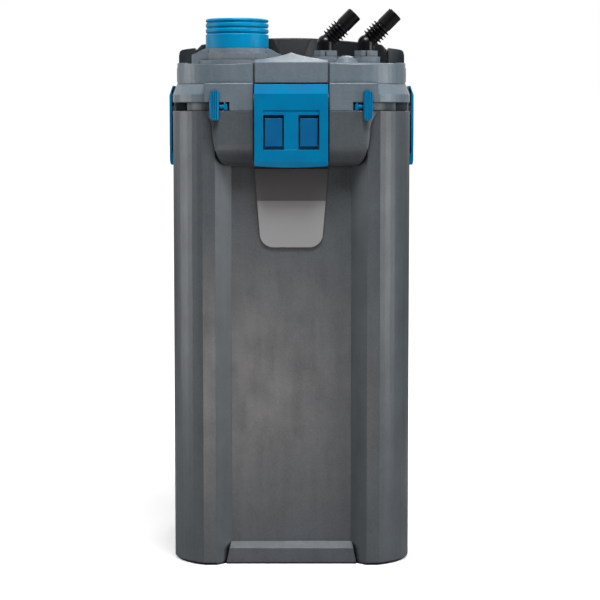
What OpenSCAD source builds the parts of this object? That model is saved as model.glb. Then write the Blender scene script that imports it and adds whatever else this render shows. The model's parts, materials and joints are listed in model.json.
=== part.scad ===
// Canister filter for a large aquarium: a tall canister with media baskets, a head with the
// pump, four over-centre clips, a lift-out prefilter and two swivelling hose elbows.
// Millimetres. The origin is under the middle of the canister, +Z is up and the front is -Y.

/* [Canister] */
// Width across the flat sides
body_w = 214; // [206:1:226]
// Depth over the shoulders, front to rear
body_d = 237; // [230:1:250]
// Radius of the upright corners
corner_r = 50; // [47:1:53]
// Height of the rim above the ground
rim_z = 407.2; // [403:0.2:470]
// Thickness of the side walls
wall = 3.5; // [2.5:0.5:4]
// Thickness of the floor
floor_t = 5; // [4:0.5:8]
// How far the flat lands lie behind the shoulders
land_setback = 5; // [4:0.5:6]
// Depth of the recessed panel behind the lands
panel_depth = 14; // [11:0.5:15]
// Width of the recessed panel
panel_w = 107; // [98:1:112]
// Width of the recess at the lands, with its slanted sides
recess_w = 135; // [130:1:138]
// Width of a shoulder block at its widest
shoulder_w = 139.2; // [132:0.2:142]
// Height of a shoulder block, from its underside to the rim
shoulder_h = 48.4; // [46:0.2:54]
// Height of the bar across the foot of the recess
bar_h = 19.4; // [14:0.2:26]
// How far the bar's front lies behind the lands
bar_setback = 6; // [5:0.5:8]

/* [Head] */
// Height of the slot between the rim and the skirt at the corners
slot_h = 7.6; // [7.4:0.2:9]
// Half width of the skirt's middle part between the slots
slot_x = 54.4; // [50:0.1:54.6]
// Depth of the slots
slot_d = 12.7; // [11.5:0.1:13.5]
// Height of the ledge on top of the skirt above the rim
ledge_h = 24.2; // [24:0.2:30]
// Height of the bevel below the ledge
bevel_h = 9.5; // [6:0.5:10]
// Width of the flat front of the skirt
boss_w = 153; // [148:1:156]
// Set-back of the upper wall behind the skirt
upper_inset = 4.1; // [3.8:0.1:5]
// Height of the upper wall above the ledge
upper_h = 18.6; // [16:0.2:24]
// Half distance between the two upright grooves in the upper wall
groove_x = 33; // [31:0.5:35]
// Radius of the two wells in the deck
well_r = 58.3; // [57:0.1:59]
// Height of the rear hump above the upper wall
hump_h = 25.6; // [24:0.2:32]
// How far the sides of the rear hump lie behind the upper wall
hump_inset = 14.7; // [13.9:0.1:17]
// Y of the hump's front face between the two wells
hump_y = -6; // [-8:1:-2]
// Height of the corner lobes above the upper wall
lobe_h = 16.8; // [12:0.2:20]
// Height of the peak between the two wells above the upper wall
peak_h = 9.5; // [5:0.5:12]

/* [Clips] */
// Width of a clip
clip_w = 65; // [62:0.5:66]
// Height of a clip
clip_h = 73.2; // [72:0.2:78]
// Thickness of a clip's plate
clip_t = 2.2; // [2:0.1:2.3]
// Width of a clip's window
window_w = 18.2; // [16:0.2:19]
// Height of a clip's window
window_h = 30.4; // [26:0.2:31]
// Distance of a window's middle from the clip's middle
window_x = 15.5; // [14:0.1:16.5]
// Radius of a clip's hinge pin
clip_pin_r = 1.5; // [1.2:0.1:1.7]

/* [Levers] */
// X of a T lever's hinge pin
lever_pin_x = 58; // [58:0.1:60]
// Length of the grip bar
lever_bar_h = 26.6; // [20:0.1:28]
// Widest part of the grip bar
lever_bar_w = 8.3; // [7.4:0.1:9]
// Distance from the hinge pin to the middle of the grip bar
lever_reach = 9.8; // [9.4:0.1:11]

/* [Prefilter] */
// Distance of the prefilter's axis from the left side
pre_inset = 57.6; // [56.5:0.1:59]
// Distance of the prefilter's axis from the front
pre_setback = 68.5; // [67.5:0.5:69.5]
// Radius of the bore for the prefilter through the head
well_bore_r = 32; // [31.5:0.1:32.5]
// Half width across the flats of the eight-sided collar
collar_apothem = 30; // [29.8:0.1:30.6]
// Reach of the collar's ears from the axis
ear_reach = 41.6; // [38:0.1:42]
// Radius of the primer cap
cap_r = 28.6; // [27:0.1:28.8]
// Height of the primer cap's top above the collar's crown
cap_h = 26.8; // [24:0.1:32]
// Travel of the primer cap
cap_travel = 10; // [6:0.5:10]
// Radius of the foam rings
foam_r = 30; // [26:0.5:31]
// Radius of the strainer tube
tube_r = 14; // [11:0.5:16]
// Height of the prefilter's lower end above the ground
foot_z = 60; // [40:1:90]

/* [Hose connector] */
// Distance of the connector block's middle from the right side
conn_inset = 57.6; // [56.6:0.1:58.4]
// Gap between the well's wall and the connector's round base
foot_gap = 8.3; // [7:0.1:10]
// Gap kept free round the collar's turning ears
ear_gap = 6; // [3:0.5:6]
// Distance between the two elbows
elbow_pitch = 36.8; // [36:0.1:38]
// Radius of the hose tail's smooth end
tail_r = 7.1; // [6.6:0.1:7.4]
// Length of the hose tail's smooth end
tail_l = 15.3; // [12:0.1:16]
// Radius of the water way
bore_r = 5.2; // [4:0.1:5.4]
// Radius over the barbs
barb_r = 9.1; // [8.6:0.1:9.3]
// Distance between barbs
barb_pitch = 3.15; // [2.8:0.05:3.2]
// Number of barbs on a hose tail
barb_count = 5; // [3:1:5]
// Radius of the elbow's upright stub
stub_r = 7.6; // [7.5:0.1:7.9]
// Half width across the flats of a union nut
nut_apothem = 10.4; // [10:0.1:11]
// Height of a union nut
nut_h = 5.4; // [5:0.1:5.8]

/* [Baskets and pump] */
// Height of one basket
basket_h = 82; // [70:1:86]
// Wall of a basket
basket_t = 2; // [1.6:0.1:2.6]
// Distance of the pump's axis from the right side
pump_inset = 62; // [59:1:65]
// Distance of the pump's axis from the rear
pump_setback = 73.5; // [68.5:1:75.5]
// Radius of the motor block
pump_r = 31; // [28:0.5:32]
// Radius of the rotor's magnet
rotor_r = 12.9; // [11:0.1:14]

/* [Hidden] */

arc_n = 14;         // segments in a quarter of a large corner
small = 0.01;
fit = 0.05;         // radial clearance of a running pin
seat_gap = 0.3;     // clearance of pieces that sit close but don't rub

half_w = body_w / 2;
half_d = body_d / 2;
pre_x = pre_inset - half_w;
pre_y = pre_setback - half_d;
conn_x = half_w - conn_inset;
pump_x = half_w - pump_inset;
pump_y = half_d - pump_setback;
land_y = half_d - land_setback;
panel_y = land_y - panel_depth;
mouth_inset = 10.5;  // the mouth's side walls, thick enough for the clip pockets
mouth_w = half_w - mouth_inset;
mouth_d = half_d - mouth_inset - 2;
mouth_r = corner_r - mouth_inset;
head_z = rim_z + 0.3;
slot_top = rim_z + slot_h;
ledge_z = rim_z + ledge_h;
wall_z = ledge_z + upper_h;
deck_z = wall_z - 4;
shell = 3.5;
hump_top = wall_z + hump_h;
lobe_top = wall_z + lobe_h;
upper_w = half_w - upper_inset;
upper_d = half_d - upper_inset;
upper_r = corner_r - upper_inset;
hump_x = upper_w - hump_inset;
hollow_w = half_w - slot_d - 5.5;
hollow_d = half_d - slot_d - 5.5;
hollow_r = corner_r - slot_d - 3.5;

body_grey = [0.29, 0.30, 0.31];
dark_grey = [0.17, 0.17, 0.18];
clip_blue = [0.02, 0.47, 0.70];
deep_blue = [0.02, 0.36, 0.60];
black = [0.06, 0.06, 0.07];

// ---------------------------------------------------------------- shared outlines

function arc(cx, cy, rx, ry, a0, a1, n = arc_n) =
    [for (i = [0:n]) let (a = a0 + (a1 - a0) * i / n) [cx + rx * cos(a), cy + ry * sin(a)]];

module rounded_rect(hw, hd, r) {
    polygon(concat(
        arc(hw - r, hd - r, r, r, 0, 90), arc(r - hw, hd - r, r, r, 90, 180),
        arc(r - hw, r - hd, r, r, 180, 270), arc(hw - r, r - hd, r, r, 270, 360)));
}

// The canister's section, drawn in by inset: rounded corners, flat lands and a recess front and rear
module body_section(inset) {
    slant = inset * 0.4;
    difference() {
        intersection() {
            rounded_rect(half_w - inset, half_d - inset, corner_r - inset);
            square([body_w, 2 * (land_y - inset)], center = true);
        }
        for (side = [-1, 1]) scale([1, side])
            polygon([[-recess_w / 2 - slant, -half_d], [-recess_w / 2 - slant, inset - land_y],
                [-panel_w / 2 - slant, inset - panel_y], [panel_w / 2 + slant, inset - panel_y],
                [recess_w / 2 + slant, inset - land_y], [recess_w / 2 + slant, -half_d]]);
    }
}

// Places its children at all four clips; x runs along the clip and -y points outwards,
// with y = 0 in the plane of the clip's outer face
module at_clip(side) {
    reach = side == "front" || side == "rear" ? half_d : half_w + side_step;
    turn = side == "front" ? 0 : side == "right" ? 90 : side == "rear" ? 180 : 270;
    rotate(turn) translate([0, -reach - clip_proud, 0]) children();
}
side_step = 1.5;    // the side clips stand a little further off than the front and rear ones
SIDES = ["front", "right", "rear", "left"];

// ---------------------------------------------------------------- clip sizes

clip_top = ledge_z - 0.8;
clip_bottom = clip_top - clip_h;
clip_gap = 1;                        // between a clip's edge and its pocket
clip_proud = 4;                      // how far a clip stands out in front of the skirt
hinge_y = 6;                         // behind the clip's face
hinge_z = clip_top - 6.1;
knuckle_r = hinge_y - clip_t + 0.2;
lug_r = hinge_y - clip_t - seat_gap;
lug_x = clip_w / 2 - 9.5;            // inner face of a lug
lug_t = 5;
top_bevel = 8.5;
clip_sweep_r = norm([hinge_y - 3, clip_top - hinge_z]) + 0.9;
hook_z = rim_z - 4.6;                // top of the hook, under the canister's catch
catch_gap = 0.5;
pocket_y = clip_proud + 6.5;         // back of the clip pockets, behind the clip's face
window_z = clip_bottom + 30.9;       // middle height of the windows

module clip_pocket() {
    translate([-clip_w / 2 - clip_gap, -2, clip_bottom - 1])
        cube([clip_w + 2 * clip_gap, pocket_y + 2, head_z - clip_bottom + 1]);
}

// ---------------------------------------------------------------- canister

module shoulder() {
    // its face is flush with the skirt, its sides run out softly into the lands
    flat = shoulder_w / 2 - 6;
    blend = 14;
    plan = [for (i = [0:14]) [flat + blend * i / 14,
        -land_y - land_setback * (0.5 + 0.5 * cos(180 * i / 14))]];
    mirrored = [for (i = [14:-1:0]) [-plan[i][0], plan[i][1]]];
    bottom = rim_z - shoulder_h;
    half = shoulder_w / 2;
    back = 2 - panel_y;
    intersection() {
        translate([0, 0, bottom]) linear_extrude(shoulder_h)
            polygon(concat([[flat + blend, back], [-flat - blend, back]], mirrored, plan));
        rotate([90, 0, 0]) linear_extrude(half_d + 1)
            polygon(concat([[half + 7.5, rim_z], [-half - 7.5, rim_z],
                [-half - 3.5, rim_z - 5.5], [-half - 1, rim_z - 10]],
                arc(13 - half, bottom + 34, 13, 34, 180, 270),
                    arc(half - 13, bottom + 34, 13, 34, 270, 360),
                [[half + 1, rim_z - 10], [half + 3.5, rim_z - 5.5]]));
        rotate([90, 0, 90]) translate([0, 0, -half - 8]) linear_extrude(shoulder_w + 16)
            polygon(concat([[back, bottom], [back, rim_z], [-half_d, rim_z]],
                arc(14 - half_d, bottom + 21, 14, 21, 180, 270)));
    }
}

module base_bar() {
    bar_y = land_y - bar_setback;
    foot = panel_w / 2 + 5.2;
    top = panel_w / 2 + 1.1;
    intersection() {
        rotate([90, 0, 90]) translate([0, 0, -half_w]) linear_extrude(body_w)
            polygon([[-bar_y + 1, 0], [-bar_y, 1.5], [-bar_y, bar_h - 4.9], [7 - bar_y, bar_h],
                [2 - panel_y, bar_h], [2 - panel_y, 0]]);
        rotate([90, 0, 0]) linear_extrude(half_d)
            polygon([[foot, 0], [top, bar_h], [-top, bar_h], [-foot, 0]]);
    }
}

module clip_catch_ledge() {
    // the rib under the rim that the clip's hook reaches under
    translate([-clip_w / 2 + 8, 5, hook_z + catch_gap])
        cube([clip_w - 16, pocket_y - 5 + small, rim_z - hook_z - catch_gap]);
}

module canister() {
    color(body_grey) difference() {
        union() {
            translate([0, 0, 2.5]) linear_extrude(rim_z - 2.5) body_section(0);
            translate([0, 0, 2.5]) mirror([0, 0, 1]) linear_extrude(2.5, scale = 0.982) body_section(0);
            for (turn = [0, 180]) rotate(turn) {
                shoulder();
                base_bar();
            }
        }
        // inside, narrower in the mouth where the clip pockets are
        translate([0, 0, floor_t]) linear_extrude(rim_z - floor_t - 57) body_section(wall);
        translate([0, 0, floor_t]) linear_extrude(rim_z) intersection() {
            rounded_rect(mouth_w, mouth_d, mouth_r);
            body_section(wall);
        }
        translate([0, 0, rim_z - 32]) linear_extrude(40) rounded_rect(mouth_w, mouth_d, mouth_r);
        translate([0, 0, seal_z]) linear_extrude(20)
            rounded_rect(mouth_w + 2.3, mouth_d + 2.3, mouth_r + 2.3);
        for (side = SIDES) at_clip(side) difference() {
            clip_pocket();
            clip_catch_ledge();
        }
    }
}

// The plain badge plate below the front clip
label_w = 66;
label_h = 70.4;
label_t = 1.6;
module label_plate() {
    top = clip_bottom - 1.2;
    low = label_w / 2 - 4.8;
    color([0.45, 0.45, 0.46]) translate([0, -panel_y, top]) rotate([90, 0, 0]) linear_extrude(label_t)
        polygon(concat([[label_w / 2, 0], [-label_w / 2, 0]],
            arc(12 - low, 12 - label_h, 12, 12, 180, 270, 10),
                arc(low - 12, 12 - label_h, 12, 12, 270, 360, 10)));
}

// ---------------------------------------------------------------- baskets and media

module basket_section(inset) {
    // the corner of the prefilter is left free
    difference() {
        rounded_rect(mouth_w - 3 - inset, panel_y - wall - 2 - inset, mouth_r - 3 - inset);
        translate([pre_x, pre_y]) circle(r = foam_r + 6 + inset, $fn = 72);
        translate([-half_w, -half_d]) square([half_w + pre_x + 12 + inset, half_d + pre_y + 12 + inset]);
    }
}

function basket_z(i) = floor_t + i * basket_h;

module basket(i) {
    color(dark_grey) translate([0, 0, basket_z(i)]) difference() {
        linear_extrude(basket_h) basket_section(0);
        translate([0, 0, basket_t]) linear_extrude(basket_h) basket_section(basket_t);
        for (k = [-3:3]) translate([k * 20 + 4, 32, -1]) cube([8, panel_y - 9.5, 10], center = true);
        for (k = [0:3]) translate([k * 20 + 14, -52, -1]) cube([8, 50, 10], center = true);
    }
}

module media(i) {
    tint = [[0.10, 0.25, 0.42], [0.12, 0.12, 0.13], [0.55, 0.30, 0.12], [0.85, 0.85, 0.82]][i];
    color(tint) translate([0, 0, basket_z(i) + basket_t])
        linear_extrude(basket_h - 12) basket_section(basket_t + 0.5);
}

module basket_1() { basket(0); }
module basket_2() { basket(1); }
module basket_3() { basket(2); }
module basket_4() { basket(3); }
module media_1() { media(0); }
module media_2() { media(1); }
module media_3() { media(2); }
module media_4() { media(3); }

// ---------------------------------------------------------------- head

base_t = 8.5;
base_z = head_z - base_t;
seal_z = rim_z - 4.1;
seal_h = 2.5;
chamber_h = 13;                      // pump chamber below the base
screw_x = hollow_w - 10.8;
SCREWS = [[-screw_x, hollow_d - 20.3], [screw_x, hollow_d - 20.3],
    [screw_x, 18.3 - hollow_d], [-screw_x, 16.3 - hollow_d]];

module at_pump() {
    translate([pump_x, pump_y, 0]) children();
}
module at_elbows() {
    for (k = [-1, 1]) translate([elbow_x(k), pre_y, 0]) children();
}

module head_base() {
    // plug in the canister's mouth, with the upper half of the pump chamber hanging below it
    color(dark_grey) difference() {
        union() {
            translate([0, 0, base_z]) linear_extrude(base_t)
                rounded_rect(mouth_w - 0.5, mouth_d - 0.5, mouth_r - 0.5);
            translate([0, 0, seal_z + seal_h]) linear_extrude(head_z - seal_z - seal_h)
                rounded_rect(mouth_w + 2, mouth_d + 2, mouth_r + 2);
            at_pump() translate([0, 0, base_z - chamber_h]) cylinder(r = 29, h = chamber_h + 1, $fn = 96);
        }
        at_pump() translate([0, 0, base_z - chamber_h - 1]) cylinder(r = 26, h = chamber_h + 1, $fn = 96);
        at_pump() translate([0, 0, base_z - 2]) cylinder(r = rotor_r + 0.6, h = base_t + 4, $fn = 72);
        translate([pre_x, pre_y, base_z - 1]) cylinder(r = well_bore_r, h = base_t + 2, $fn = 96);
        at_elbows() translate([0, 0, base_z - 1]) cylinder(r = pipe_r + 0.2, h = base_t + 2, $fn = 48);
        for (p = SCREWS) translate([p[0], p[1], base_z - 1]) cylinder(r = 2.1, h = base_t + 2, $fn = 32);
    }
}

module head_seal() {
    color(black) translate([0, 0, seal_z]) linear_extrude(seal_h) difference() {
        rounded_rect(mouth_w + 2.2, mouth_d + 2.2, mouth_r + 2.2);
        rounded_rect(mouth_w - 0.4, mouth_d - 0.4, mouth_r - 0.4);
    }
}

module head_screws() {
    color([0.6, 0.6, 0.62]) for (p = SCREWS) translate([p[0], p[1], base_z]) {
        translate([0, 0, -2.4]) cylinder(r = 4, h = 2.4, $fn = 32);
        translate([0, 0, -small]) cylinder(r = 2, h = base_t + 16, $fn = 32);
    }
}

bevel_in = upper_inset - 0.4;
module skirt() {
    // full outline with a bevel up to the ledge
    translate([0, 0, head_z]) linear_extrude(ledge_z - bevel_h - head_z)
        rounded_rect(half_w, half_d, corner_r);
    translate([0, 0, ledge_z - bevel_h])
        linear_extrude(bevel_h, scale = [1 - bevel_in / half_w, 1 - bevel_in / half_d])
        rounded_rect(half_w, half_d, corner_r);
    // flat front and rear of the skirt, without the bevel
    for (turn = [0, 180]) rotate(turn) translate([0, 0, head_z]) linear_extrude(ledge_z - head_z)
        polygon([[-boss_w / 2, -half_d], [boss_w / 2, -half_d],
            [boss_w / 2, 12 - half_d], [-boss_w / 2, 12 - half_d]]);
}

module corner_slots() {
    side_tongue = clip_w / 2 + 5;
    difference() {
        translate([0, 0, head_z - 1]) linear_extrude(slot_top - head_z + 1) difference() {
            square([body_w + 20, body_d + 20], center = true);
            rounded_rect(half_w - slot_d, half_d - slot_d, corner_r - slot_d);
            square([2 * slot_x, body_d + 40], center = true);
            square([body_w + 40, 2 * side_tongue], center = true);
        }
    }
}

dip = 2;
dip_half = (upper_w - groove_x) / 2 + 0.25;
dip_r = (dip_half * dip_half + dip * dip) / (2 * dip);
module upper_wall() {
    difference() {
        translate([0, 0, ledge_z - small]) linear_extrude(upper_h + small)
            rounded_rect(upper_w, upper_d, upper_r);
        // upright grooves beside the middle block, front and rear
        for (x = [-1, 1], y = [-1, 1]) translate([x * groove_x, y * upper_d, ledge_z + upper_h / 2])
            cube([1.8, 3, upper_h + 4], center = true);
        // the side sections of the front wall dip a little
        for (x = [-1, 1]) translate([x * (groove_x + upper_w - 8) / 2, -upper_d - 1, wall_z + dip_r - dip])
            rotate([-90, 0, 0]) cylinder(r = dip_r, h = 26, $fn = 240);
    }
}

module wells(z, h) {
    for (x = [pre_x, conn_x]) translate([x, pre_y, z]) cylinder(r = well_r, h = h, $fn = 120);
}

module peak() {
    // the middle of the front wall runs up to a peak between the two wells
    rotate([90, 0, 90]) translate([0, 0, 0.9 - groove_x]) linear_extrude(2 * groove_x - 1.8)
        polygon([[-upper_d, deck_z - 3], [-upper_d, wall_z],
            [pre_y - 31, wall_z + peak_h], [pre_y - 31, deck_z - 3]]);
}

lobe_w = upper_w + 0.9;              // the lobes stand a little proud of the upper wall
module corner_lobes() {
    // the side walls rise behind the wells, beside the rear hump
    intersection() {
        translate([0, 0, ledge_z + 2]) linear_extrude(lobe_top - ledge_z - 2) difference() {
            rounded_rect(lobe_w, upper_d, upper_r);
            square([2 * hump_x + 3.6, 4 * half_d], center = true);
        }
        rotate([90, 0, 90]) translate([0, 0, -half_w]) linear_extrude(body_w)
            polygon(concat([[-60, ledge_z], [-60, wall_z], [pre_y + 12, wall_z],
                [pre_y + 12, lobe_top - 8]],
                arc(pre_y + 20, lobe_top - 8, 8, 8, 180, 90, 8),
                [[upper_d - 43.8, lobe_top], [upper_d - 13.8, wall_z], [upper_d - 13.8, ledge_z]]));
        // crowned across its width, lower at the outside
        rotate([90, 0, 0]) translate([0, 0, -half_d]) linear_extrude(body_d)
            polygon([[-lobe_w, ledge_z], [-lobe_w, lobe_top - 8],
                [0.8 - lobe_w, lobe_top - 4.6], [2.6 - lobe_w, lobe_top - 3],
                [6 - lobe_w, lobe_top - 2.1], [-hump_x, lobe_top - 0.4],
                    [hump_x, lobe_top - 0.4], [lobe_w - 6, lobe_top - 2.1],
                [lobe_w - 2.6, lobe_top - 3], [lobe_w - 0.8, lobe_top - 4.6],
                    [lobe_w, lobe_top - 8], [lobe_w, ledge_z]]);
    }
}

module clip_room() {
    // pocket behind a clip and the hollow that its upper edge turns into
    width = clip_w + 2 * clip_gap;
    translate([-width / 2, -2, head_z - 1]) cube([width, pocket_y + 2, ledge_z - head_z + 1 + small]);
    translate([-width / 2, hinge_y, hinge_z]) rotate([0, 90, 0])
        cylinder(r = clip_sweep_r, h = width, $fn = 64);
}

module hinge_lugs() {
    for (x = [-1, 1]) translate([x * (lug_x + lug_t / 2) - lug_t / 2, 0, 0]) difference() {
        union() {
            translate([0, hinge_y, hinge_z]) rotate([0, 90, 0]) cylinder(r = lug_r, h = lug_t, $fn = 48);
            translate([0, hinge_y - lug_r * 0.7, hinge_z - 12]) cube([lug_t, pocket_y - hinge_y + 4, 9]);
            translate([0, hinge_y, hinge_z - 4]) cube([lug_t, clip_sweep_r + 0.5, 4]);
        }
        translate([-1, hinge_y, hinge_z]) rotate([0, 90, 0])
            cylinder(r = clip_pin_r, h = lug_t + 2, $fn = 32);
    }
}

module head_cover() {
    tube_h = deck_z - shell - head_z + 1;
    color(body_grey) {
        difference() {
            union() {
                difference() {
                    skirt();
                    corner_slots();
                }
                upper_wall();
                peak();
                corner_lobes();
            }
            wells(deck_z, 60);
            // hollow underside, open above the motor
            translate([0, 0, head_z - 1]) linear_extrude(deck_z - shell - head_z + 1)
                rounded_rect(hollow_w, hollow_d, hollow_r);
            at_pump() translate([0, 0, head_z]) cylinder(r = pump_r + 1, h = 60, $fn = 96);
            // prefilter, water pipes and the pins of the T levers
            translate([pre_x, pre_y, head_z]) cylinder(r = well_bore_r, h = 60, $fn = 96);
            at_elbows() translate([0, 0, head_z]) cylinder(r = pipe_r + 0.2, h = 60, $fn = 48);
            for (x = [-1, 1]) translate([x * lever_pin_x, lever_y, slot_top - 1])
                cylinder(r = lever_pin_r, h = 9, $fn = 32);
            for (side = SIDES) at_clip(side) clip_room();
            at_gland() cylinder(r = gland_r, h = 40, $fn = 48);
        }
        for (side = SIDES) at_clip(side) hinge_lugs();
        // screw posts and the prefilter's guide tube inside the cover
        for (p = SCREWS) translate([p[0], p[1], head_z]) difference() {
            cylinder(r = 5, h = tube_h, $fn = 32);
            translate([0, 0, -1]) cylinder(r = 2, h = 18, $fn = 32);
        }
        translate([pre_x, pre_y, head_z]) difference() {
            cylinder(r = well_bore_r + 3, h = tube_h, $fn = 96);
            translate([0, 0, -1]) cylinder(r = well_bore_r, h = tube_h + 2, $fn = 96);
        }
    }
}

// The raised rear of the head, over the pump and its outlet
crown_r = 560;
module rear_hump() {
    rear = upper_d - 0.4;
    lean = 6;
    color(dark_grey) difference() {
        intersection() {
            translate([0, 0, wall_z]) linear_extrude(hump_top - wall_z) difference() {
                rounded_rect(hump_x, rear, 42);
                for (x = [pre_x, conn_x]) translate([x, pre_y]) circle(r = well_r + 0.2, $fn = 120);
            }
            // crowned top, higher in the middle
            translate([0, half_d + 1, hump_top - crown_r])
                rotate([90, 0, 0]) cylinder(r = crown_r, h = body_d + 2, $fn = 480);
            // cut corners at its sides
            translate([0, half_d + 1, 0]) rotate([90, 0, 0]) linear_extrude(body_d + 2)
                polygon([[-hump_x, wall_z], [-hump_x, hump_top - 10.6], [11 - hump_x, hump_top + 1],
                    [hump_x - 11, hump_top + 1], [hump_x, hump_top - 10.6], [hump_x, wall_z]]);
            // leaning front and rounded rear
            rotate([90, 0, 90]) translate([0, 0, -body_w]) linear_extrude(2 * body_w)
                polygon(concat([[hump_y - 2.5, wall_z], [hump_y + lean, hump_top + 1]],
                    arc(rear - 30, wall_z + 3, 30, hump_h - 3, 90, 0), [[rear, wall_z]]));
        }
        // shell from below
        translate([0, 0, wall_z - 1]) linear_extrude(hump_h - 11) intersection() {
            rounded_rect(hump_x - shell, rear - 16, 36);
            translate([-body_w, -half_d]) square([2 * body_w, 2 * half_d]);
            difference() {
                translate([-body_w, hump_y + 5]) square([2 * body_w, body_d]);
                for (x = [pre_x, conn_x]) translate([x, pre_y]) circle(r = well_r + shell, $fn = 120);
            }
        }
    }
}

gland_r = 4;
module at_gland() {
    translate([62, hollow_d - 3, head_z + 13]) rotate([-90, 0, 0]) children();
}
module cable_gland() {
    length = half_d - hollow_d + 3;
    color(black) at_gland() difference() {
        union() {
            cylinder(r = gland_r, h = length + 1, $fn = 48);
            translate([0, 0, length]) cylinder(r = 7, h = 2.5, $fn = 48);
        }
        translate([0, 0, -1]) cylinder(r = 2.6, h = length + 6, $fn = 48);
    }
}

// ---------------------------------------------------------------- clips

module clip_outline() {
    // upright section of the plate: bevelled top, thin middle and a drawn-in grip at the foot
    polygon([[3, clip_top], [0, clip_top - top_bevel], [0, clip_bottom + 5], [0.8, clip_bottom],
        [3.4, clip_bottom], [3.4, clip_bottom + 9], [clip_t, clip_bottom + 12.5],
        [clip_t, hinge_z - 2], [clip_t, hinge_z + 1], [4.2, clip_top]]);
}

clip_arc = 400;
module clip() {
    color(clip_blue) difference() {
        union() {
            intersection() {
                rotate([90, 0, 90]) translate([0, 0, -clip_w / 2]) linear_extrude(clip_w) clip_outline();
                // lower edge a little convex
                translate([0, 6, clip_bottom + clip_arc]) rotate([90, 0, 0])
                    cylinder(r = clip_arc, h = 7, $fn = 720);
            }
            translate([-lug_x + seat_gap, hinge_y, hinge_z]) rotate([0, 90, 0])
                cylinder(r = knuckle_r, h = 2 * (lug_x - seat_gap), $fn = 48);
        }
        translate([-clip_w, hinge_y, hinge_z]) rotate([0, 90, 0])
            cylinder(r = clip_pin_r + fit, h = 2 * clip_w, $fn = 32);
        for (x = [-1, 1]) translate([x * window_x, 0, window_z])
            cube([window_w, 12, window_h], center = true);
        // shallow panel round the windows
        translate([-window_x - window_w / 2 - 0.2, -1, window_z - window_h / 2])
            cube([2 * window_x + window_w + 0.4, 1.4, window_h + 4]);
    }
}

module catch_plate() {
    // spring plate behind the windows: two pads and the hook that reaches under the catch
    pad_w = window_w - 2.8;
    pad_h = window_h - 5.7;
    plate_x = clip_w / 2 - 4;
    slot = (window_w - pad_w) / 2;
    color(deep_blue) {
        difference() {
            translate([-plate_x, clip_t, window_z - window_h / 2 - 2])
                cube([2 * plate_x, 1.8, hook_z - window_z + window_h / 2 + 2]);
            // slots that let the pads spring
            for (x = [-1, 1]) translate([x * window_x, 0, window_z]) {
                for (k = [-1, 1]) translate([k * (pad_w + slot) / 2 - slot / 2, 0, 1 - pad_h / 2])
                    cube([slot, 6, pad_h - 1 + slot]);
                translate([-window_w / 2, 0, pad_h / 2]) cube([window_w, 6, slot]);
            }
        }
        for (x = [-1, 1]) translate([x * window_x - pad_w / 2, 1, window_z - pad_h / 2])
            cube([pad_w, clip_t, pad_h]);
        rotate([90, 0, 90]) translate([0, 0, -clip_w / 2 + 10]) linear_extrude(clip_w - 20)
            polygon([[clip_t + 1, hook_z], [8, hook_z], [8, hook_z - 1.6], [clip_t + 1, hook_z - 6]]);
    }
}

module front_clip() { at_clip("front") clip(); }
module rear_clip() { at_clip("rear") clip(); }
module left_clip() { at_clip("left") clip(); }
module right_clip() { at_clip("right") clip(); }
module front_catch() { at_clip("front") catch_plate(); }
module rear_catch() { at_clip("rear") catch_plate(); }
module left_catch() { at_clip("left") catch_plate(); }
module right_catch() { at_clip("right") catch_plate(); }

module clip_hinge_pins() {
    pin_l = 2 * (lug_x + lug_t);
    color([0.7, 0.7, 0.72]) for (side = SIDES) at_clip(side)
        translate([-pin_l / 2, hinge_y, hinge_z]) rotate([0, 90, 0])
            cylinder(r = clip_pin_r, h = pin_l, $fn = 32);
}

// ---------------------------------------------------------------- T levers

lever_y = 3.2 - half_d;
lever_z = rim_z + 3.5;               // middle height of the neck
lever_pin_r = 1;
lever_neck_r = 2.8;
grip_y = -half_d - 0.6;              // back of the grip bar

module lever() {
    bar_x = lever_pin_x + lever_reach;
    half = lever_bar_h / 2;
    edge = lever_bar_w / 2;
    color(clip_blue) difference() {
        union() {
            // grip bar, bowed on its outer side, with three flutes along its front
            intersection() {
                translate([bar_x, 0, lever_z + 1.2]) rotate([90, 0, 0])
                    linear_extrude(body_d) polygon(concat(
                    [for (t = [-1:0.125:1]) [edge - 1.3 * t * t - 1.1 * pow(t, 6),
                        half * t * (1 - 0.02 * t * t)]],
                    [[1.6 - edge, half], [0.5 - edge, half - 0.7], [-edge, half - 2.4],
                    [-edge, 2.4 - half], [0.5 - edge, 0.7 - half], [1.6 - edge, -half]]));
                translate([bar_x, grip_y, 0]) linear_extrude(2 * rim_z)
                    polygon(concat([[edge, 0], [-edge, 0], [-edge, -1.6], [-2.9, -2.9]],
                        [for (k = [-1:1], p = [[-0.9, 0], [-0.45, 0.5], [0.45, 0.5], [0.9, 0]])
                            [k * 1.9 + p[0] + 0.1, p[1] - 3.4]],
                        [[3.1, -2.9], [edge, -1.6]]));
            }
            // web from the bar back into the slot
            translate([bar_x - 2, grip_y - 0.5, lever_z - lever_neck_r])
                cube([4, lever_y - grip_y + 2, 2 * lever_neck_r]);
            // neck and knuckle
            translate([lever_pin_x, lever_y, lever_z]) rotate([0, 90, 0])
                cylinder(r = lever_neck_r, h = lever_reach, $fn = 40);
            translate([lever_pin_x, lever_y, lever_z - lever_neck_r])
                cylinder(r = lever_neck_r, h = 2 * lever_neck_r, $fn = 40);
        }
        translate([lever_pin_x, lever_y, 0]) cylinder(r = lever_pin_r + fit, h = 2 * rim_z, $fn = 32);
    }
}
module right_lever() { lever(); }
module left_lever() { mirror([1, 0, 0]) lever(); }
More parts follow.
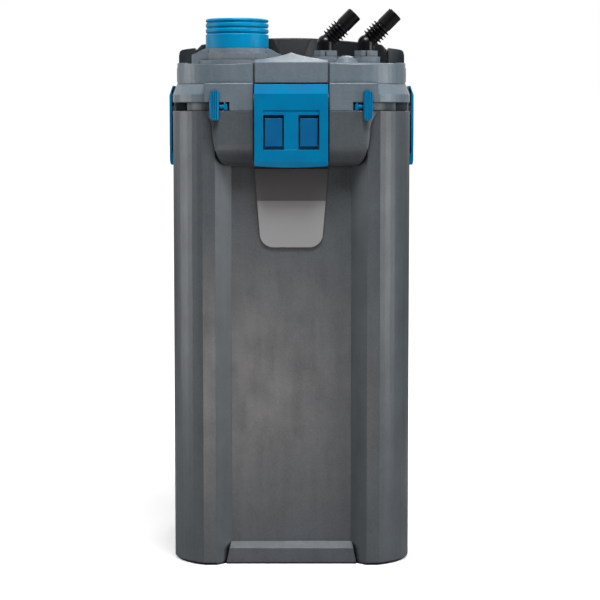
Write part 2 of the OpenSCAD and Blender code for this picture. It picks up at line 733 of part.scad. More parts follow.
module lever_pins() {
    foot = lever_z - lever_neck_r;
    color([0.7, 0.7, 0.72]) for (x = [-1, 1]) translate([x * lever_pin_x, lever_y, 0]) {
        translate([0, 0, foot - 0.05]) cylinder(r = lever_pin_r, h = slot_top + 8 - foot, $fn = 32);
        translate([0, 0, foot - 0.35]) cylinder(r = 1.8, h = 0.3, $fn = 32);
    }
}

// ---------------------------------------------------------------- prefilter

flange_z = deck_z + seat_gap;
floor_z = flange_z + 3.2;            // the collar's inner floor
oct_z = deck_z + 6.8;
oct_h = 6.4;
ring_z = oct_z + oct_h;
crown_z = ring_z + 4.5;
cap_z = floor_z + cap_travel + 0.5;  // the cap's lower edge at rest
cap_top = crown_z + cap_h;
cap_roof = cap_top - 2.8;
post_r = 12;

module at_prefilter() {
    translate([pre_x, pre_y, 0]) children();
}

module prefilter_collar() {
    color(body_grey) at_prefilter() difference() {
        union() {
            // flange and its two ears
            translate([0, 0, flange_z]) cylinder(r = 37, h = oct_z - flange_z + small, $fn = 96);
            intersection() {
                translate([0, 0, flange_z]) cylinder(r = ear_reach, h = 20, $fn = 120);
                rotate([90, 0, 0]) translate([0, 0, -15]) linear_extrude(30)
                    polygon([[-50, flange_z], [50, flange_z],
                        [50, ring_z - 3.8], [ear_reach - 4, ring_z - 0.2],
                        [collar_apothem, crown_z - 0.5], [-collar_apothem, crown_z - 0.5],
                            [4 - ear_reach, ring_z - 0.2],
                        [-50, ring_z - 3.8]]);
            }
            // eight-sided ring and its drawn-in crown
            translate([0, 0, oct_z]) rotate(22.5)
                cylinder(r = collar_apothem / cos(22.5), h = oct_h, $fn = 8);
            translate([0, 0, ring_z - small])
                cylinder(r1 = collar_apothem, r2 = cap_r + 1, h = crown_z - ring_z, $fn = 96);
        }
        difference() {
            translate([0, 0, floor_z]) cylinder(r = cap_r + seat_gap, h = 30, $fn = 96);
            cylinder(r = post_r, h = cap_roof - cap_travel - 2, $fn = 64);
        }
        translate([0, 0, flange_z - 1]) cylinder(r = spigot_r + fit, h = 60, $fn = 48);
    }
}

module primer_cap() {
    groove = 0.9;
    rings = [for (k = [0:2], p = [[0, -2.1], [-groove, -1.1], [-groove, -0.5], [0, 0.5]])
        [cap_r + p[0], cap_top + p[1] - 12.4 + k * 4.9]];
    outer = concat([[cap_r - 0.3, cap_z], [cap_r, cap_z + 0.6]], rings,
        [[cap_r, cap_top - 1.3], [cap_r - 0.4, cap_top - 0.5], [cap_r - 1.5, cap_top], [0, cap_top]]);
    inner = [[0, cap_roof], [post_r + fit, cap_roof], [post_r + fit, cap_z + 2], [post_r + 2, cap_z + 2],
        [post_r + 2, cap_roof], [cap_r - 2.4, cap_roof], [cap_r - 2.4, cap_z]];
    color(clip_blue) at_prefilter() rotate_extrude($fn = 96) polygon(concat(outer, inner));
}

spring_r = 19;
spring_wire = 0.8;
spring_turns = 5;
spring_z = floor_z + spring_wire + 0.05;
spring_top = cap_roof - spring_wire - 0.05;
module primer_spring() {
    steps = spring_turns * 12;
    sides = 6;
    rings = [for (i = [0:steps]) let (a = 360 * i / 12, z = spring_z + (spring_top - spring_z) * i / steps)
        [for (s = [0:sides - 1]) let (b = 360 * s / sides, r = spring_r + spring_wire * cos(b))
            [r * cos(a), r * sin(a), z + spring_wire * sin(b)]]];
    points = [for (ring = rings, p = ring) p];
    walls = [for (i = [0:steps - 1], s = [0:sides - 1], k = [0, 1])
        let (a = i * sides + s, b = i * sides + (s + 1) % sides, c = a + sides, d = b + sides)
        k == 0 ? [a, c, b] : [b, c, d]];
    caps = [[for (s = [0:sides - 1]) s], [for (s = [sides - 1:-1:0]) steps * sides + s]];
    color([0.75, 0.75, 0.78]) at_prefilter() polyhedron(points, concat(walls, caps));
}

plug_h = 21;
plug_z = deck_z - plug_h;
spigot_r = 8;
tube_seat = 6;                       // depth of the strainer tube's seat in the plug

module prefilter_head() {
    // plug in the head's bore, with the spigot that the collar turns on
    color(dark_grey) at_prefilter() difference() {
        union() {
            translate([0, 0, plug_z]) cylinder(r = well_bore_r - seat_gap, h = plug_h, $fn = 96);
            translate([0, 0, plug_z]) cylinder(r = spigot_r, h = floor_z + 4 - plug_z, $fn = 48);
        }
        translate([0, 0, plug_z - 1]) cylinder(r = tube_r, h = tube_seat + 1, $fn = 72);
        translate([0, 0, seal_ring_z - 1.4]) difference() {
            cylinder(r = well_bore_r + 1, h = 2.8, $fn = 96);
            translate([0, 0, -1]) cylinder(r = well_bore_r - 2.6, h = 5, $fn = 96);
        }
        // side ports for the incoming water
        for (turn = [20, 140, 260]) rotate(turn) translate([17, 0, plug_z - 1])
            cylinder(r = 4, h = plug_h - 10, $fn = 32);
    }
}
seal_ring_z = plug_z + 15;

module strainer_tube() {
    tube_top = plug_z + tube_seat;
    rows = floor((plug_z - foot_z - 40) / 44);
    color(dark_grey) at_prefilter() difference() {
        translate([0, 0, foot_z + 6]) cylinder(r = tube_r, h = tube_top - foot_z - 6, $fn = 72);
        translate([0, 0, foot_z + 5]) cylinder(r = tube_r - 2, h = tube_top - foot_z - 7, $fn = 72);
        for (k = [0:rows - 1], turn = [0, 60, 120]) translate([0, 0, foot_z + 42 + k * 44]) rotate(turn)
            cube([2 * tube_r + 2, 5, 30], center = true);
    }
}

module prefilter_seal() {
    color(black) at_prefilter() translate([0, 0, seal_ring_z]) rotate_extrude($fn = 96)
        translate([well_bore_r - 1.3, 0]) circle(r = 1.25, $fn = 24);
}

foam_h = (plug_z - foot_z - 6) / 3;
module prefilter_foam() {
    // three rings on the tube
    color([0.06, 0.07, 0.08]) at_prefilter() for (k = [0:2]) translate([0, 0, foot_z + 6 + k * foam_h])
        difference() {
        cylinder(r = foam_r, h = foam_h - seat_gap, $fn = 96);
        translate([0, 0, -1]) cylinder(r = tube_r + 0.1, h = foam_h + 2, $fn = 72);
    }
}

module prefilter_foot() {
    color(clip_blue) at_prefilter() {
        translate([0, 0, foot_z]) cylinder(r = foam_r + 1, h = 5.9, $fn = 96);
        translate([0, 0, foot_z + 5]) cylinder(r = tube_r - 2.1, h = 6, $fn = 72);
    }
}

// ---------------------------------------------------------------- hose connector

block_z = deck_z + 10.6;
foot_r = well_r - foot_gap;          // round base of the block
pipe_r = 7.4;                        // water pipes from the block down through the head's base
bend_h = 12.2;                       // from the block's top up to the bend's centre
tail_axis = 37.9;                    // from the bend's centre to the hose tail's end
core_r = tail_r - 0.5;               // hose tail between its barbs
function elbow_x(k) = conn_x + k * elbow_pitch / 2;

module connector_block() {
    color(body_grey) difference() {
        union() {
            translate([conn_x, pre_y, deck_z]) rotate_extrude($fn = 120)
                polygon([[0, 0], [foot_r, 0], [foot_r, 2.4], [foot_r - 2, 4], [0, 4]]);
            translate([0, 0, deck_z]) {
                at_elbows() cylinder(r = nut_apothem + 2.6, h = block_z - deck_z, $fn = 64);
                translate([conn_x - elbow_pitch / 2, pre_y - 11, 0])
                    cube([elbow_pitch, 22, block_z - deck_z - 2]);
            }
            at_elbows() translate([0, 0, base_z]) cylinder(r = pipe_r, h = deck_z - base_z + 1, $fn = 48);
            // plain domed cover in front of the elbows
            translate([conn_x, pre_y - 24.5, deck_z]) rotate_extrude($fn = 64)
                polygon(concat([[0, 0], [10, 0], [10, 4.5], [9, 6.6]],
                    arc(0, 6.6, 8.4, 4.2, 0, 90), [[0, 6]]));
        }
        at_elbows() {
            translate([0, 0, base_z - 1]) cylinder(r = bore_r, h = 80, $fn = 48);
            translate([0, 0, deck_z + 4]) cylinder(r = stub_r + fit, h = 40, $fn = 64);
        }
        // room for the collar to turn, where the two stand close
        translate([pre_x, pre_y, deck_z - 1]) cylinder(r = ear_reach + ear_gap, h = 30, $fn = 120);
    }
}

module union_nuts() {
    color(body_grey) at_elbows() translate([0, 0, block_z]) difference() {
        rotate(22.5) cylinder(r = nut_apothem / cos(22.5), h = nut_h, $fn = 8);
        translate([0, 0, -1]) cylinder(r = stub_r + fit, h = nut_h + 2, $fn = 64);
        // grip notches
        for (turn = [0, 90]) rotate(turn) difference() {
            translate([-0.7, -nut_apothem - 2, -1]) cube([1.4, 2 * nut_apothem + 4, nut_h + 2]);
            translate([-1, 1.1 - nut_apothem, -2]) cube([2, 2 * nut_apothem - 2.2, nut_h + 4]);
        }
    }
}

module elbow() {
    barb_s = tail_axis - tail_l - barb_count * barb_pitch - 1;
    barbs = [for (k = [0:barb_count - 1], p = [[core_r, 0.1], [barb_r, 0.8], [barb_r, 1.4], [core_r, 2.1]])
        [p[0], barb_s + k * barb_pitch + p[1]]];
    foot = deck_z + 4.2 - block_z;
    color(black) translate([0, 0, block_z]) difference() {
        union() {
            translate([0, 0, foot]) cylinder(r = stub_r, h = bend_h - foot, $fn = 64);
            translate([0, 0, bend_h]) sphere(r = stub_r + 0.2, $fn = 64);
            translate([0, 0, bend_h]) rotate([0, 45, 0]) rotate_extrude($fn = 64)
                polygon(concat([[0, 0], [core_r, 0]], barbs,
                    [[core_r, tail_axis - tail_l], [tail_r, tail_axis - tail_l],
                    [tail_r, tail_axis - 0.6], [tail_r - 0.6, tail_axis], [0, tail_axis]]));
        }
        translate([0, 0, foot - 1]) cylinder(r = bore_r, h = bend_h - foot + 1, $fn = 48);
        translate([0, 0, bend_h]) rotate([0, 45, 0]) cylinder(r = bore_r, h = 60, $fn = 48);
        translate([0, 0, bend_h]) sphere(r = bore_r + 0.3, $fn = 48);
        // seal groove
        translate([0, 0, 7 + deck_z - block_z]) difference() {
            cylinder(r = stub_r + 1, h = 2, $fn = 64);
            translate([0, 0, -1]) cylinder(r = stub_r - 1.3, h = 4, $fn = 64);
        }
    }
}
module inlet_elbow() { translate([elbow_x(-1), pre_y, 0]) elbow(); }
module outlet_elbow() { translate([elbow_x(1), pre_y, 0]) elbow(); }
module elbow_seals() {
    color(black) at_elbows() translate([0, 0, deck_z + 8]) rotate_extrude($fn = 64)
        translate([stub_r - 0.6, 0]) circle(r = 0.6, $fn = 20);
}

// ---------------------------------------------------------------- pump

cover_t = 4;
cover_z = base_z - chamber_h - cover_t;
motor_top = deck_z + 6;
shaft_r = 2;
bush_r = 4;

module motor_block() {
    // sealed block with the coils, and the blind bore that the magnet turns in
    color(black) at_pump() difference() {
        union() {
            translate([0, 0, head_z]) cylinder(r = pump_r, h = motor_top - head_z, $fn = 96);
            translate([-pump_r + 4, -pump_r - 3, head_z]) cube([2 * pump_r - 8, 2 * pump_r + 6, 6]);
        }
        translate([0, 0, head_z - 1]) cylinder(r = rotor_r + 0.6, h = motor_top - head_z - 7, $fn = 72);
        translate([0, 0, head_z]) cylinder(r = bush_r, h = motor_top - head_z - 4, $fn = 32);
    }
}

module pump_cover() {
    // closes the chamber, with the suction eye round the shaft's lower bush
    color(dark_grey) at_pump() translate([0, 0, cover_z]) difference() {
        cylinder(r = 29, h = cover_t, $fn = 96);
        for (turn = [0, 90, 180, 270]) rotate(turn) translate([9.5, 0, -1])
            cylinder(r = 3.2, h = cover_t + 2, $fn = 32);
        translate([0, 0, 1]) cylinder(r = bush_r, h = cover_t, $fn = 32);
    }
}

module impeller() {
    // magnet with six straight vanes below it
    vane_z = cover_z + cover_t + 1;
    disc_z = base_z - 3.5;
    color([0.14, 0.14, 0.15]) at_pump() difference() {
        union() {
            translate([0, 0, disc_z]) cylinder(r = 7, h = head_z - disc_z, $fn = 48);
            translate([0, 0, base_z + 2]) cylinder(r = rotor_r, h = motor_top - base_z - 13, $fn = 72);
            translate([0, 0, disc_z]) cylinder(r = 21, h = 1.6, $fn = 72);
            for (turn = [0:60:300]) rotate(turn) translate([5, -0.8, vane_z])
                cube([15.5, 1.6, disc_z - vane_z + 0.5]);
            translate([0, 0, vane_z]) cylinder(r = 6, h = disc_z - vane_z + 0.5, $fn = 40);
        }
        translate([0, 0, vane_z - 1]) cylinder(r = shaft_r + fit, h = 80, $fn = 32);
    }
}

module impeller_shaft() {
    color([0.9, 0.9, 0.88]) at_pump() translate([0, 0, cover_z + 1.5])
        cylinder(r = shaft_r, h = motor_top - cover_z - 6, $fn = 32);
}

module shaft_bushes() {
    // one cup in the cover, one at the end of the motor's bore
    color(black) at_pump() {
        translate([0, 0, cover_z + 1]) difference() {
            cylinder(r = bush_r, h = cover_t - 1, $fn = 32);
            translate([0, 0, 0.5]) cylinder(r = shaft_r, h = cover_t, $fn = 32);
        }
        translate([0, 0, motor_top - 8]) difference() {
            cylinder(r = bush_r, h = 4, $fn = 32);
            translate([0, 0, -1]) cylinder(r = shaft_r, h = 4.5, $fn = 32);
        }
    }
}

canister();
label_plate();
basket_1();
basket_2();
basket_3();
basket_4();
media_1();
media_2();
media_3();
media_4();
head_base();
head_seal();
head_screws();
head_cover();
rear_hump();
cable_gland();
clip_hinge_pins();
front_clip();
rear_clip();
left_clip();
right_clip();
front_catch();
rear_catch();
left_catch();
right_catch();
left_lever();
right_lever();
lever_pins();
primer_cap();
primer_spring();
prefilter_collar();
prefilter_head();
strainer_tube();
prefilter_foam();
prefilter_foot();
prefilter_seal();
connector_block();
union_nuts();
inlet_elbow();
outlet_elbow();
elbow_seals();
motor_block();
pump_cover();
impeller();
impeller_shaft();
shaft_bushes();
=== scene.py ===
"""Dressed model of a canister filter: materials for its moulded pieces, its foam parts and its
primer spring, the floor, the studio light and the camera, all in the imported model's frame (metres,
+Z up, front towards -Y)."""

import json
import math

import bpy
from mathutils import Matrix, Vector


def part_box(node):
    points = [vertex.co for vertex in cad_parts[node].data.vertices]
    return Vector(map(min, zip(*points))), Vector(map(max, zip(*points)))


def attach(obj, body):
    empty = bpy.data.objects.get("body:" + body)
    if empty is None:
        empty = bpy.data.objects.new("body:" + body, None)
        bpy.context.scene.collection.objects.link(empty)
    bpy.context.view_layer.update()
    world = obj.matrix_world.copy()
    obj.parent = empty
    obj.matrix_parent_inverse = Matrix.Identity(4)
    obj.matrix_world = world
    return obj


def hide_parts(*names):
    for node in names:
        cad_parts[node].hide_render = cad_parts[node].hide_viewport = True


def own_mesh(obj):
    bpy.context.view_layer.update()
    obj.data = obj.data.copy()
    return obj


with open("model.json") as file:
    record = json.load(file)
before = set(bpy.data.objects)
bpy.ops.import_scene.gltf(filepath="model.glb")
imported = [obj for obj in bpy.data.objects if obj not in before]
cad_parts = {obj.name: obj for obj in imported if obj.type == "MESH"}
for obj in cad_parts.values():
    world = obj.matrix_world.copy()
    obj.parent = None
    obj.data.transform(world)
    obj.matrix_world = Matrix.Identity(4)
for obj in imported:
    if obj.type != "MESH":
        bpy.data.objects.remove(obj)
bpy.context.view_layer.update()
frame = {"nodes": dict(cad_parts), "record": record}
NODES = frame["nodes"]

MM = 0.001

# ---------------------------------------------------------------- camera

# in front, about level with the canister's rim, tilted 5.1 degrees down, with a long lens
CAMERA_PLACE = (7.75 * MM, -1900 * MM, 399.2 * MM)
CAMERA_TILT = math.radians(84.9)
SENSOR_WIDTH = 36
LENS = 121.0

camera = bpy.data.objects.new("camera", bpy.data.cameras.new("camera"))
bpy.context.scene.collection.objects.link(camera)
camera.location = CAMERA_PLACE
camera.rotation_euler = (CAMERA_TILT, 0, 0)
camera.data.sensor_width = SENSOR_WIDTH
camera.data.lens = LENS
bpy.context.scene.camera = camera
bpy.context.scene.view_settings.view_transform = "Standard"


# ---------------------------------------------------------------- material helpers

WHITE = "ffffff"
BLACK = "000000"
EDGE_RAYS = 6
# painted shade: parting lines and crevices are drawn darker up to this far from their walls
CREVICE_REACH = 5 * MM
CREVICE_PAINTED_SHADES = [(0.3, "3c3c3c"), (0.78, WHITE)]


def linear(hex_colour):
    """An sRGB hex colour such as "4c4d4f" as the linear RGBA that shaders take."""
    channels = [int(hex_colour[i : i + 2], 16) / 255 for i in (0, 2, 4)]
    return [c / 12.92 if c <= 0.04045 else ((c + 0.055) / 1.055) ** 2.4 for c in channels] + [1.0]


def add(tree, kind, inputs=None, stops=(), **settings):
    """Adds a node of that kind with its settings. An input is a value, or the output socket that
    feeds it; a colour ramp's stops are (position, sRGB hex) pairs."""
    made = tree.nodes.new(kind)
    for name, value in settings.items():
        setattr(made, name, value)
    for name, value in (inputs or {}).items():
        if isinstance(value, bpy.types.NodeSocket):
            tree.links.new(value, made.inputs[name])
        else:
            made.inputs[name].default_value = value
    if stops:
        elements = made.color_ramp.elements
        while len(elements) < len(stops):
            elements.new(0.5)
        for element, (position, colour) in zip(elements, stops):
            element.position = position
            element.color = linear(colour)
    return made


def new_material(name):
    """An empty material with its node tree."""
    material = bpy.data.materials.new(name)
    material.use_nodes = True
    material.node_tree.nodes.clear()
    return material, material.node_tree


def finish_surface(tree, colour, roughness, height=None, depth=0.0, edge=0.0, **more):
    """Principled surface; height and depth give its relief in metres, edge the radius of its
    moulded edges, and with an edge comes a painted shade in its crevices and parting lines."""
    shader_inputs = {"Base Color": colour, "Roughness": roughness}
    shader_inputs.update(more)
    normal = None
    if edge:
        rounded = add(tree, "ShaderNodeBevel", {"Radius": edge}, samples=EDGE_RAYS)
        normal = rounded.outputs["Normal"]
        # painted shade: the base colour is darkened in crevices and along parting lines
        open_sky = add(tree, "ShaderNodeAmbientOcclusion",
                       {"Distance": CREVICE_REACH, "Normal": normal}, samples=EDGE_RAYS)
        painted_crevice_shade = add(tree, "ShaderNodeValToRGB", {"Fac": open_sky.outputs["AO"]},
                     stops=CREVICE_PAINTED_SHADES)
        shaded = add(tree, "ShaderNodeMix",
                     {"Factor": 1.0, "A": colour, "B": painted_crevice_shade.outputs["Color"]},
                     data_type="RGBA", blend_type="MULTIPLY")
        shader_inputs["Base Color"] = shaded.outputs["Result"]
    if height is not None:
        bump_inputs = {"Height": height, "Distance": depth, "Strength": 1.0}
        if normal is not None:
            bump_inputs["Normal"] = normal
        normal = add(tree, "ShaderNodeBump", bump_inputs).outputs["Normal"]
    if normal is not None:
        shader_inputs["Normal"] = normal
    surface = add(tree, "ShaderNodeBsdfPrincipled", shader_inputs)
    add(tree, "ShaderNodeOutputMaterial", {"Surface": surface.outputs["BSDF"]})


# ---------------------------------------------------------------- kinds of finish


def grained_moulding(name, low, high, roughness=0.33, grain_mm=1.0, streak_mm=9, cloud_mm=34,
                     edge_mm=0.7, rear=None, **more):
    """Injection-moulded ABS with a metallic tint, or polypropylene, from a spark-eroded mould: a
    fine satin grain, clouds where the flakes in the melt lie differently, and faint upright streaks
    left by drawing the piece off its core. The real grain is about 0.2 mm; it is drawn coarser so
    that it shows. Behind rear's Y and above its Z it takes rear's two darker colours, a painted
    shade."""
    streak_stretch = (1.0, 1.0, 0.12)
    cloud_share, grain_share = 0.6, 0.4
    shade_from, shade_to = 0.36, 0.64
    gloss_from, gloss_to = 0.38, 0.62
    dullest, glossiest = roughness + 0.05, roughness - 0.04
    grain_depth = 0.05 * MM

    material, tree = new_material(name)
    place = add(tree, "ShaderNodeTexCoord").outputs["Object"]
    grain = add(tree, "ShaderNodeTexNoise",
                {"Vector": place, "Scale": 1 / (grain_mm * MM), "Detail": 3.0}).outputs["Fac"]
    tall = add(tree, "ShaderNodeMapping",
               {"Vector": place, "Scale": streak_stretch}).outputs["Vector"]
    streaks = add(tree, "ShaderNodeTexNoise",
                  {"Vector": tall, "Scale": 1 / (streak_mm * MM), "Detail": 5.0,
                   "Roughness": 0.55}).outputs["Fac"]
    cloud = add(tree, "ShaderNodeTexNoise",
                {"Vector": place, "Scale": 1 / (cloud_mm * MM), "Detail": 7.0,
                 "Roughness": 0.62}).outputs["Fac"]
    flow = add(tree, "ShaderNodeMix",
               {"Factor": cloud_share, "A": streaks, "B": cloud}).outputs["Result"]
    speck = add(tree, "ShaderNodeMix",
                {"Factor": grain_share, "A": flow, "B": grain}).outputs["Result"]
    colour = add(tree, "ShaderNodeValToRGB", {"Fac": speck},
                 stops=[(shade_from, low), (shade_to, high)]).outputs["Color"]
    # painted shade: the raised rear corners are drawn darker
    if rear:
        rear_y, rear_z, rear_low, rear_high = rear
        split = add(tree, "ShaderNodeSeparateXYZ", {"Vector": place})
        behind = add(tree, "ShaderNodeMath", {0: split.outputs["Y"], 1: rear_y},
                     operation="GREATER_THAN")
        above = add(tree, "ShaderNodeMath", {0: split.outputs["Z"], 1: rear_z},
                    operation="GREATER_THAN")
        raised = add(tree, "ShaderNodeMath",
                     {0: behind.outputs["Value"], 1: above.outputs["Value"]},
                     operation="MULTIPLY")
        dark = add(tree, "ShaderNodeValToRGB", {"Fac": speck},
                   stops=[(shade_from, rear_low), (shade_to, rear_high)]).outputs["Color"]
        painted_corner_shade = add(tree, "ShaderNodeMix",
                       {"Factor": raised.outputs["Value"], "A": colour, "B": dark},
                       data_type="RGBA")
        colour = painted_corner_shade.outputs["Result"]
    gloss = add(tree, "ShaderNodeMapRange",
                {"Value": flow, "From Min": gloss_from, "From Max": gloss_to,
                 "To Min": dullest, "To Max": glossiest})
    finish_surface(tree, colour, gloss.outputs["Result"], height=grain, depth=grain_depth,
                   edge=edge_mm * MM, **more)
    return material


def smooth_moulding(name, low, high, roughness=0.3, edge_mm=0.6, **more):
    """Dyed ABS from a smooth mould, and the pump's pressed and ground pieces: an even satin gloss
    with a very faint orange peel, a little duller where it is handled."""
    peel_mm, peel_depth = 2.4, 0.02 * MM
    handled_mm = 17
    shade_from, shade_to = 0.35, 0.65
    dullest, glossiest = roughness + 0.06, roughness - 0.04

    material, tree = new_material(name)
    place = add(tree, "ShaderNodeTexCoord").outputs["Object"]
    peel = add(tree, "ShaderNodeTexNoise",
               {"Vector": place, "Scale": 1 / (peel_mm * MM), "Detail": 2.0}).outputs["Fac"]
    handled = add(tree, "ShaderNodeTexNoise",
                  {"Vector": place, "Scale": 1 / (handled_mm * MM), "Detail": 4.0}).outputs["Fac"]
    colour = add(tree, "ShaderNodeValToRGB", {"Fac": handled},
                 stops=[(shade_from, low), (shade_to, high)]).outputs["Color"]
    dull = add(tree, "ShaderNodeMapRange",
               {"Value": handled, "From Min": shade_from, "From Max": shade_to,
                "To Min": dullest, "To Max": glossiest})
    finish_surface(tree, colour, dull.outputs["Result"], height=peel, depth=peel_depth,
                   edge=edge_mm * MM, **more)
    return material


def moulded_rubber(name, low, high):
    """Moulded NBR rubber: matt and black, with a bloom that lightens it in patches."""
    bloom_mm, bloom_depth = 6, 0.02 * MM
    bloom_from, bloom_to = 0.35, 0.7

    material, tree = new_material(name)
    place = add(tree, "ShaderNodeTexCoord").outputs["Object"]
    bloom = add(tree, "ShaderNodeTexNoise",
                {"Vector": place, "Scale": 1 / (bloom_mm * MM), "Detail": 4.0}).outputs["Fac"]
    colour = add(tree, "ShaderNodeValToRGB", {"Fac": bloom},
                 stops=[(bloom_from, low), (bloom_to, high)]).outputs["Color"]
    finish_surface(tree, colour, roughness=0.75, height=bloom, depth=bloom_depth)
    return material


def drawn_steel(name, low, high):
    """Drawn stainless steel: bright, with the fine marks that the die leaves. The real marks are
    a few hundredths of a millimetre wide; they are drawn coarser so that they show."""
    mark_mm, mark_depth = 0.8, 0.01 * MM
    mark_from, mark_to = 0.3, 0.7

    material, tree = new_material(name)
    place = add(tree, "ShaderNodeTexCoord").outputs["Object"]
    marks = add(tree, "ShaderNodeTexNoise",
                {"Vector": place, "Scale": 1 / (mark_mm * MM), "Detail": 3.0}).outputs["Fac"]
    colour = add(tree, "ShaderNodeValToRGB", {"Fac": marks},
                 stops=[(mark_from, low), (mark_to, high)]).outputs["Color"]
    finish_surface(tree, colour, roughness=0.28, height=marks, depth=mark_depth, Metallic=1.0)
    return material


def open_foam(name, low, high, cell_mm):
    """Reticulated polyurethane foam: open cells with thin struts in the foam's own colour and a
    painted shade in their pores. The fleece has the same look, with cells so small and pale that
    they read as fibres."""
    strut_from, strut_to, strut_height = 0.02, 0.16, 0.25
    pore_depth = cell_mm * 0.6 * MM

    material, tree = new_material(name)
    place = add(tree, "ShaderNodeTexCoord").outputs["Object"]
    cells = add(tree, "ShaderNodeTexVoronoi", {"Vector": place, "Scale": 1 / (cell_mm * MM)},
                feature="DISTANCE_TO_EDGE").outputs["Distance"]
    # painted shade: the pores between the struts are drawn dark
    colour = add(tree, "ShaderNodeValToRGB", {"Fac": cells},
                 stops=[(strut_from, high), (strut_to, low)]).outputs["Color"]
    pores = add(tree, "ShaderNodeMath", {0: strut_height, 1: cells}, operation="SUBTRACT")
    finish_surface(tree, colour, roughness=0.9, height=pores.outputs["Value"], depth=pore_depth)
    return material


def printed_plate(name):
    """Polycarbonate plate, printed in two plain tones and otherwise bare: light grey below, dark
    above, each with a soft gradient. Its satin grain is about 0.2 mm, and is drawn coarser so that
    it shows."""
    light_tone = [(0.0, "9a9b9d"), (0.5, "abacae"), (0.585, "9fa0a2")]
    dark_tone = [(0.595, "666668"), (1.0, "5a5a5c")]
    grain_mm, grain_depth = 1.2, 0.02 * MM

    material, tree = new_material(name)
    place = add(tree, "ShaderNodeTexCoord").outputs["Object"]
    height = add(tree, "ShaderNodeSeparateXYZ", {"Vector": place}).outputs["Z"]
    bottom, top = (corner[2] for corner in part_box("label_plate"))
    share = add(tree, "ShaderNodeMapRange", {"Value": height, "From Min": bottom, "From Max": top})
    colour = add(tree, "ShaderNodeValToRGB", {"Fac": share.outputs["Result"]},
                 stops=light_tone + dark_tone).outputs["Color"]
    grain = add(tree, "ShaderNodeTexNoise",
                {"Vector": place, "Scale": 1 / (grain_mm * MM), "Detail": 2.0}).outputs["Fac"]
    finish_surface(tree, colour, roughness=0.33, height=grain, depth=grain_depth, edge=0.5 * MM)
    return material


# ---------------------------------------------------------------- finishes of the CAD pieces

# how much less than plain polished plastic these finishes shine
SATIN = {"Specular IOR Level": 0.4}
SOFT_GLOSS = {"Specular IOR Level": 0.25}
FAINT_GLOSS = {"Specular IOR Level": 0.12}

# painted shade: the head's raised corners, behind the wells, are drawn nearly as dark as the hump
CORNERS_Y = -0.045
CORNERS_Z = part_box("rear_hump")[0][2] + 0.5 * MM

# canister: satin blue-grey
body_abs = grained_moulding("graphite_abs", "4a5055", "5e656a")
# head: the same plastic a shade lighter, with rounder edges, and a painted shade on its raised rear
# corners
head_abs = grained_moulding("graphite_abs_head", "63707a", "79868f", streak_mm=6, edge_mm=1.2,
                            rear=(CORNERS_Y, CORNERS_Z, "33373b", "40454a"))
# rear hump: nearly black, softly shining on its rounded edges
hump_abs = grained_moulding("dark_graphite_abs", "1e2023", "282a2d", roughness=0.3, edge_mm=2,
                            **SOFT_GLOSS)
# collar, connector block and union nuts: the lightest grey, duller than the head
collar_abs = grained_moulding("light_graphite_abs", "68717a", "7d8790", roughness=0.4, streak_mm=5,
                              edge_mm=0.6, **SOFT_GLOSS)
# pieces inside the head and the cartridge: black and dull
inner_abs = grained_moulding("black_graphite_abs", "222326", "303135", roughness=0.5)
# baskets: black and waxy
basket_pp = grained_moulding("basket_polypropylene", "2a2b2e", "3a3b3f", roughness=0.5)
# clips, levers and the cartridge's foot: a strong, even blue with little shine
clip_abs = smooth_moulding("blue_abs", "0077aa", "0080b2", **FAINT_GLOSS)
# catches behind the clips' windows: a deeper blue
catch_abs = smooth_moulding("blue_abs_catch", "005f94", "00689e", roughness=0.36, **SOFT_GLOSS)
# primer cap: a lighter blue
cap_abs = smooth_moulding("blue_abs_cap", "0088ba", "0092c4", roughness=0.34, edge_mm=0.4,
                          **FAINT_GLOSS)
# hose elbows and motor block: deep black with sharper highlights
elbow_abs = smooth_moulding("black_abs", "08080a", "111114", roughness=0.28, edge_mm=0.3, **SATIN)
# impeller and its magnet: ferrite powder in a plastic binder, dark and dull
magnet = smooth_moulding("bonded_ferrite", "1c1c1e", "28282b", roughness=0.5)
# impeller's shaft: ground aluminium oxide, ivory and glossy
ground_ceramic = smooth_moulding("ground_ceramic", "dcd9d0", "e6e3da", roughness=0.25)
# seals, bushes and the cord's gland
rubber = moulded_rubber("nbr_rubber", "101010", "1d1d1d")
# screws, pins and the primer spring
steel = drawn_steel("drawn_stainless_steel", "b3b3b6", "d2d2d4")
# media in the baskets, and the rings on the strainer tube
foams = {
    "coarse_foam": open_foam("blue_foam", "13283f", "2f5f92", 2.4),
    "dark_foam": open_foam("anthracite_foam", "0c0d0f", "3a3d42", 1.6),
    "orange_foam": open_foam("orange_foam", "4f2409", "b8651f", 1.9),
    "white_fleece": open_foam("white_fleece", "a8a8a2", "e4e4dd", 1.0),
}

FINISHES = {
    "body_plastic": body_abs,
    "label_plastic": printed_plate("plain_plate"),
    "deck_plastic": hump_abs,
    "collar_plastic": collar_abs,
    "dark_plastic": inner_abs,
    "basket_plastic": basket_pp,
    "blue_plastic": clip_abs,
    "blue_catch": catch_abs,
    "cap_blue": cap_abs,
    "black_plastic": elbow_abs,
    "seal_rubber": rubber,
    "steel": steel,
    "ceramic": ground_ceramic,
    "magnet": magnet,
    **foams,
}
SLOT_OF = {part["node"]: part["material_slot"] for part in frame["record"]["subparts"]}
for node_name, node_object in NODES.items():
    chosen = head_abs if node_name == "head_cover" else FINISHES[SLOT_OF[node_name]]
    for material_slot in node_object.material_slots:
        material_slot.material = chosen


# ---------------------------------------------------------------- modelling helpers

# faces that meet at less than this are shaded as one surface
SMOOTH_BELOW = math.radians(40)


